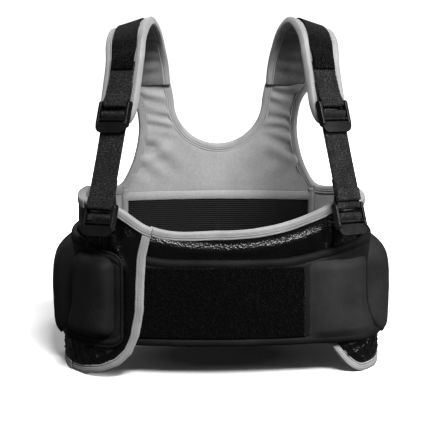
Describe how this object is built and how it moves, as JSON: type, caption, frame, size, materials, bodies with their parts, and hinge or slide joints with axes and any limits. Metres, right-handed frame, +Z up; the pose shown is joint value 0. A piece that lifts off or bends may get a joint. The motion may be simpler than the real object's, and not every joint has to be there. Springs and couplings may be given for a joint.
{
  "type": "padded riding vest",
  "caption": "Padded chest vest with a wide waist belt and pads, a front flap at one side, shoulder straps with sliding adjusters and tilting ladder-lock buckles.",
  "frame": {"origin": "On the floor, under the middle of the whole vest as it stands on its hem.", "axes": "+X is the wearer's left, -Y is the way the vest faces, +Z is up. The front flap is at the wearer's right, at -X."},
  "size_m": [0.4412, 0.274, 0.4422],
  "materials": {
    "shell_leather": "semi_gloss",
    "lining_cloth": "matte",
    "binding_tape": "matte",
    "mesh_band": "matte",
    "belt_cloth": "matte",
    "loop_pile": "matte",
    "webbing": "matte",
    "lock_plastic": "gloss",
    "foam": "matte"
  },
  "bodies": {
    "vest": {"back_foam": "foam", "back_lining": "lining_cloth", "back_shell": "shell_leather", "belt_core": "foam", "belt_cover": "belt_cloth", "front_foam": "foam", "front_lining": "lining_cloth", "front_rim_binding": "binding_tape", "front_shell": "shell_leather", "hem_binding": "binding_tape", "left_adjuster_strap": "webbing", "left_anchor_webbing": "webbing", "left_armhole_binding": "binding_tape", "left_front_pad_core": "foam", "left_front_pad_cover": "belt_cloth", "left_loop_strip": "loop_pile", "left_pad_binding": "binding_tape", "left_pad_cover": "shell_leather", "left_pad_foam": "foam", "left_pad_lining": "lining_cloth", "left_side_foam": "foam", "left_side_lining": "lining_cloth", "left_side_pod_core": "foam", "left_side_pod_cover": "belt_cloth", "left_side_shell": "shell_leather", "loop_patch": "loop_pile", "lumbar_mesh": "mesh_band", "neckline_binding": "binding_tape", "right_armhole_binding": "binding_tape", "right_loop_strip": "loop_pile", "right_pad_binding": "binding_tape", "right_pad_cover": "shell_leather", "right_pad_foam": "foam", "right_pad_lining": "lining_cloth", "right_rim_binding": "binding_tape", "right_side_foam": "foam", "right_side_lining": "lining_cloth", "right_side_pod_core": "foam", "right_side_pod_cover": "belt_cloth", "right_side_shell": "shell_leather", "seam_tapes": "binding_tape"},
    "flap": {"flap_shell": "shell_leather", "flap_foam": "foam", "flap_lining": "lining_cloth", "flap_rim_binding": "binding_tape", "flap_edge_binding": "binding_tape", "hook_patch": "loop_pile", "belt_end_cover": "belt_cloth", "belt_end_core": "foam", "belt_end_piping": "belt_cloth", "right_front_pod_cover": "belt_cloth", "right_front_pod_core": "foam", "right_adjuster_strap": "webbing", "right_anchor_webbing": "webbing"},
    "right_strap": {"right_upper_webbing": "webbing"},
    "left_strap": {"left_upper_webbing": "webbing"},
    "right_upper_buckle": {"right_upper_lock": "lock_plastic"},
    "left_upper_buckle": {"left_upper_lock": "lock_plastic"},
    "right_lower_buckle": {"right_lower_lock": "lock_plastic"},
    "left_lower_buckle": {"left_lower_lock": "lock_plastic"}
  },
  "joints": [
    {"name": "flap_open", "type": "hinge", "parent": "vest", "child": "flap", "pos_m": [-0.1828, -0.06074, 0.107], "axis": [0, 0, -1], "range_deg": [0, 75], "deforming": ["right_adjuster_strap"]},
    {"name": "right_strap_adjust", "type": "slide", "parent": "vest", "child": "right_strap", "axis": [-0.1681, -0.3051, -0.9374], "range_m": [0, 0.03], "deforming": ["right_pad_cover", "right_pad_foam", "right_pad_lining", "right_pad_binding", "right_loop_strip", "right_adjuster_strap"]},
    {"name": "left_strap_adjust", "type": "slide", "parent": "vest", "child": "left_strap", "axis": [0.1681, -0.3051, -0.9374], "range_m": [0, 0.03], "deforming": ["left_pad_cover", "left_pad_foam", "left_pad_lining", "left_pad_binding", "left_loop_strip", "left_adjuster_strap"]},
    {"name": "right_upper_lock_tilt", "type": "hinge", "parent": "right_strap", "child": "right_upper_buckle", "pos_m": [-0.13165, -0.07736, 0.33667], "axis": [-0.7984, 0.5999, -0.0521], "range_deg": [0, 35], "deforming": ["right_adjuster_strap"]},
    {"name": "left_upper_lock_tilt", "type": "hinge", "parent": "left_strap", "child": "left_upper_buckle", "pos_m": [0.13165, -0.07736, 0.33667], "axis": [-0.7984, -0.5999, 0.0521], "range_deg": [0, 35], "deforming": ["left_adjuster_strap"]},
    {"name": "right_lower_lock_tilt", "type": "hinge", "parent": "flap", "child": "right_lower_buckle", "pos_m": [-0.149, -0.11101, 0.21525], "axis": [-0.7984, 0.5999, -0.0521], "range_deg": [0, 35], "deforming": ["right_anchor_webbing", "right_adjuster_strap"]},
    {"name": "left_lower_lock_tilt", "type": "hinge", "parent": "vest", "child": "left_lower_buckle", "pos_m": [0.149, -0.11101, 0.21525], "axis": [-0.7984, -0.5999, 0.0521], "range_deg": [0, 35], "deforming": ["left_anchor_webbing", "left_adjuster_strap"]}
  ]
}
